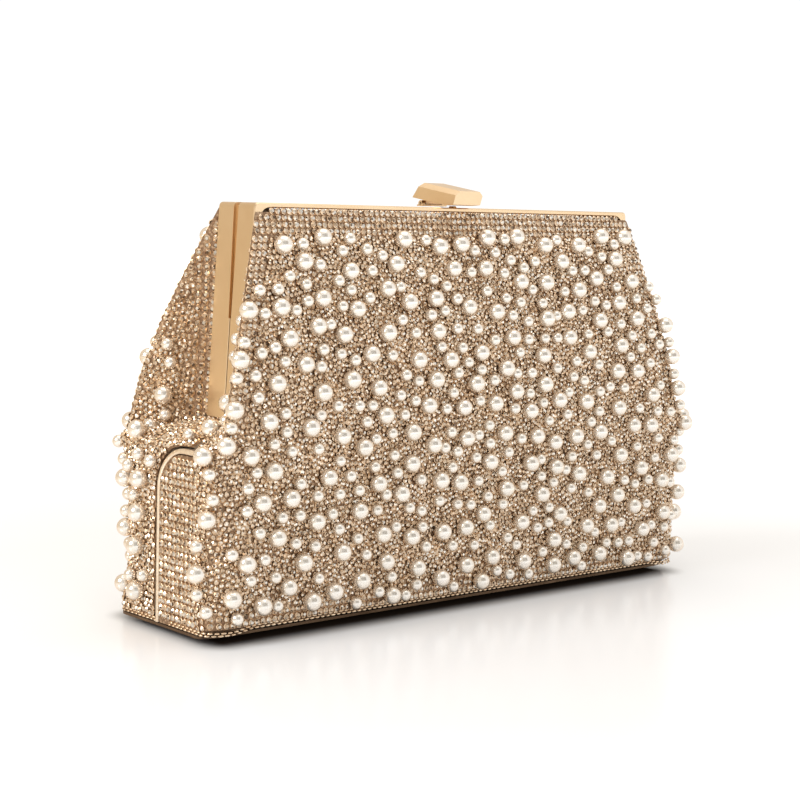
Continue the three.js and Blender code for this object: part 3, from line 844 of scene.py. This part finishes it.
lining_trees = {}
for lining in ("front_lining", "back_lining"):
    shape = nodes[lining].data
    shape.calc_loop_triangles()
    lining_trees[lining] = BVHTree.FromPolygons([v.co for v in shape.vertices],
                                                [t.vertices for t in shape.loop_triangles])
gusset(-1, "gusset_left")
gusset(1, "gusset_right")


# ---------- materials of the CAD nodes ----------
def dress(material, *names):
    for name in names:
        mesh = nodes[name].data
        mesh.materials.clear()
        mesh.materials.append(material)


dress(pressed_board, "front_board", "back_board")
dress(gold, "front_frame", "back_frame", "clasp_lever", "clasp_bracket", "clasp_stud")
dress(piping_gold, "flap_piping_left", "flap_piping_right")
dress(pale_gold, "hinge_base_leaf", "hinge_back_leaf")
dress(trim_gold_in_painted_shade, "base_trim")
dress(pin_metal, "hinge_pin", "clasp_pin")
dress(cover_in_painted_shade, "base_panel")


def soften_edges(*names):
    """Narrow rounded edges that catch the light."""
    for name in names:
        edge = nodes[name].modifiers.new("edges", "BEVEL")
        edge.width = 0.22 * MM
        edge.segments = 2
        edge.limit_method = "ANGLE"
        edge.angle_limit = math.radians(40)


soften_edges("front_frame", "back_frame", "clasp_lever")


# ---------- camera, lights and floor ----------
VIEW_TURN = math.radians(41.0)  # the camera looks this far round from straight on


def look_camera():
    """The camera stands at the front left, a little above the rail, and leans slightly."""
    azimuth, pitch_angle, roll = VIEW_TURN, math.radians(-5.8), math.radians(1.51)
    forward = Vector((math.sin(azimuth) * math.cos(pitch_angle),
                      math.cos(azimuth) * math.cos(pitch_angle), math.sin(pitch_angle)))
    level = Vector((math.cos(azimuth), -math.sin(azimuth), 0))
    upright = level.cross(forward)
    right = level * math.cos(roll) + upright * math.sin(roll)
    up = upright * math.cos(roll) - level * math.sin(roll)
    camera = bpy.data.objects.new("camera", bpy.data.cameras.new("camera"))
    turned = Matrix((right, up, -forward)).transposed().to_4x4()
    camera.matrix_world = Matrix.Translation((-0.3864, seam_y - 0.4281, 0.1253)) @ turned
    camera.data.lens = 80.5
    camera.data.sensor_width = 36.0
    camera.data.shift_y = -0.0121
    camera.data.clip_end = 50
    bpy.context.scene.collection.objects.link(camera)
    bpy.context.scene.camera = camera


def soft_light(name, place, target, width, height, power, colour=(1, 1, 1)):
    data = bpy.data.lights.new(name, "AREA")
    data.shape = "RECTANGLE"
    data.size, data.size_y = width, height
    data.energy = power
    data.color = colour
    lamp = bpy.data.objects.new(name, data)
    lamp.location = place
    lamp.rotation_euler = (Vector(target) - Vector(place)).to_track_quat("-Z", "Y").to_euler()
    bpy.context.scene.collection.objects.link(lamp)


def painted_shadow_mask(tree, coordinates):
    """The mask of the painted shadow: 0 on the floor under the bag, rising to 1 just outside it."""
    split = add(tree, "ShaderNodeSeparateXYZ")
    tree.links.new(coordinates.outputs["Object"], split.inputs["Vector"])
    past = []
    for axis, reach in (("X", front_skin[1].x - 7 * MM), ("Y", -front_skin[0].y - 4 * MM)):
        size = add(tree, "ShaderNodeMath", operation="ABSOLUTE")
        tree.links.new(split.outputs[axis], size.inputs[0])
        beyond = add(tree, "ShaderNodeMath", operation="SUBTRACT")
        tree.links.new(size.outputs["Value"], beyond.inputs[0])
        beyond.inputs[1].default_value = reach
        past.append(add(tree, "ShaderNodeMath", operation="MAXIMUM"))
        tree.links.new(beyond.outputs["Value"], past[-1].inputs[0])
        past[-1].inputs[1].default_value = 0
    both = add(tree, "ShaderNodeCombineXYZ")
    tree.links.new(past[0].outputs["Value"], both.inputs["X"])
    tree.links.new(past[1].outputs["Value"], both.inputs["Y"])
    distance = add(tree, "ShaderNodeVectorMath", operation="LENGTH")
    tree.links.new(both.outputs["Vector"], distance.inputs[0])
    rise = add(tree, "ShaderNodeMapRange", From_Min=0.0, From_Max=12 * MM,
               interpolation_type="SMOOTHSTEP")
    tree.links.new(distance.outputs["Value"], rise.inputs["Value"])
    return rise.outputs["Result"]


def floor():
    """A pale glossy floor with a painted glow that keeps it white far off, and a painted shadow, near black,
    under the bag.
    """
    mesh = bpy.data.meshes.new("floor")
    reach = 4.0
    mesh.from_pydata([(-reach, -reach, 0), (reach, -reach, 0), (reach, reach, 0), (-reach, reach, 0)], [],
                     [(0, 1, 2, 3)])
    plane = bpy.data.objects.new("floor", mesh)
    bpy.context.scene.collection.objects.link(plane)
    material, tree, shader = new_material("floor")
    shader.inputs["Roughness"].default_value = 0.2
    cloud = noise(tree, 3.0)
    near = ramp(tree, cloud.outputs["Fac"], [(0.3, (0.885, 0.90, 0.925)), (0.7, (0.91, 0.925, 0.95))])
    coordinates = add(tree, "ShaderNodeTexCoord")
    length = add(tree, "ShaderNodeVectorMath", operation="LENGTH")
    # painted glow: the floor glows more the farther it lies from the bag, so it stays white far off
    painted_glow = add(tree, "ShaderNodeMapRange", From_Min=0.15, From_Max=1.0, To_Min=0.06, To_Max=0.8)
    tree.links.new(coordinates.outputs["Object"], length.inputs[0])
    tree.links.new(length.outputs["Value"], painted_glow.inputs["Value"])
    # painted reflection: to rays mirrored in the bag, the floor behind it on the left turns a dim tan
    toward = add(tree, "ShaderNodeVectorMath", operation="DOT_PRODUCT")
    toward.inputs[1].default_value = (-math.sin(VIEW_TURN), math.cos(VIEW_TURN), 0)
    tree.links.new(coordinates.outputs["Object"], toward.inputs[0])
    behind = add(tree, "ShaderNodeMapRange", From_Min=0.05, From_Max=0.35)
    tree.links.new(toward.outputs["Value"], behind.inputs["Value"])
    path = add(tree, "ShaderNodeLightPath")
    painted_reflection_share = add(tree, "ShaderNodeMath", operation="MULTIPLY")
    tree.links.new(path.outputs["Is Glossy Ray"], painted_reflection_share.inputs[0])
    tree.links.new(behind.outputs["Result"], painted_reflection_share.inputs[1])
    tone_and_painted_reflection = add(tree, "ShaderNodeMix", data_type="RGBA")
    tree.links.new(painted_reflection_share.outputs["Value"], tone_and_painted_reflection.inputs["Factor"])
    tree.links.new(near.outputs["Color"], tone_and_painted_reflection.inputs[6])
    # the dim tan of the painted reflection
    tone_and_painted_reflection.inputs[7].default_value = (0.50, 0.43, 0.32, 1)
    outside_painted_shadow = painted_shadow_mask(tree, coordinates)
    gloss = add(tree, "ShaderNodeMath", operation="MULTIPLY")
    tree.links.new(outside_painted_shadow, gloss.inputs[0])
    gloss.inputs[1].default_value = 0.5
    tree.links.new(gloss.outputs["Value"], shader.inputs["Specular IOR Level"])
    floor_with_painted_shadow = add(tree, "ShaderNodeMix", data_type="RGBA")
    tree.links.new(outside_painted_shadow, floor_with_painted_shadow.inputs["Factor"])
    # painted shadow: near black under the bag, fading to the floor's tone just outside, in colour and glow
    # alike
    floor_with_painted_shadow.inputs[6].default_value = (0.032, 0.022, 0.016, 1)
    tree.links.new(tone_and_painted_reflection.outputs[2], floor_with_painted_shadow.inputs[7])
    tree.links.new(floor_with_painted_shadow.outputs[2], shader.inputs["Base Color"])
    tree.links.new(floor_with_painted_shadow.outputs[2], shader.inputs["Emission Color"])
    tree.links.new(painted_glow.outputs["Result"], shader.inputs["Emission Strength"])
    mesh.materials.append(material)


def dark_card():
    """A dark card above the camera that only reflections see."""
    half_width, half_height = 0.75, 0.46
    mesh = bpy.data.meshes.new("dark_card")
    mesh.from_pydata([(-half_width, -half_height, 0), (half_width, -half_height, 0),
                      (half_width, half_height, 0), (-half_width, half_height, 0)], [], [(0, 1, 2, 3)])
    card = bpy.data.objects.new("dark_card", mesh)
    card.location = (-0.26, -1.05, 0.68)
    card.rotation_euler = (Vector((0, 0, 0.06)) - card.location).to_track_quat("Z", "Y").to_euler()
    bpy.context.scene.collection.objects.link(card)
    material, tree, shader = new_material("dark_card")
    shader.inputs["Roughness"].default_value = 0.9
    colour = ramp(tree, noise(tree, 2.0).outputs["Fac"], [(0.3, (0.22, 0.20, 0.17)), (0.7, (0.28, 0.26, 0.23))])
    tree.links.new(colour.outputs["Color"], shader.inputs["Base Color"])
    mesh.materials.append(material)
    card.visible_camera = False
    card.visible_shadow = False
    card.visible_diffuse = False


def backdrop_light():
    """White where the camera looks past the bag. The bag is lit from all round, most from the front right."""
    world = bpy.data.worlds.new("studio")
    world.use_nodes = True
    tree = world.node_tree
    background = tree.nodes["Background"]
    coordinates = add(tree, "ShaderNodeTexCoord")
    toward = add(tree, "ShaderNodeVectorMath", operation="DOT_PRODUCT")
    toward.inputs[1].default_value = (math.sin(VIEW_TURN), -math.cos(VIEW_TURN), 0)
    tree.links.new(coordinates.outputs["Generated"], toward.inputs[0])
    share = add(tree, "ShaderNodeMapRange", From_Min=-1.0, From_Max=1.0)
    tree.links.new(toward.outputs["Value"], share.inputs["Value"])
    around = ramp(tree, share.outputs["Result"], [(0.1, (0.68, 0.58, 0.45)), (0.9, (0.98, 0.98, 0.98))])
    path = add(tree, "ShaderNodeLightPath")
    seen = add(tree, "ShaderNodeMix", data_type="RGBA")
    tree.links.new(path.outputs["Is Camera Ray"], seen.inputs["Factor"])
    tree.links.new(around.outputs["Color"], seen.inputs[6])
    seen.inputs[7].default_value = (1.05, 1.05, 1.05, 1)
    tree.links.new(seen.outputs[2], background.inputs["Color"])
    bpy.context.scene.world = world


look_camera()
floor()
dark_card()
backdrop_light()
soft_light("key", (-0.95, 0.1, 0.62), (0, 0, 0.06), 0.5, 0.5, 5.5)
soft_light("front", (-0.5, -1.2, 1.1), (0, 0, 0.06), 0.8, 0.5, 2.0)
soft_light("top", (0.1, 0.1, 1.3), (0, 0, 0), 1.2, 1.2, 4.0)
bpy.context.scene.view_settings.view_transform = "Standard"
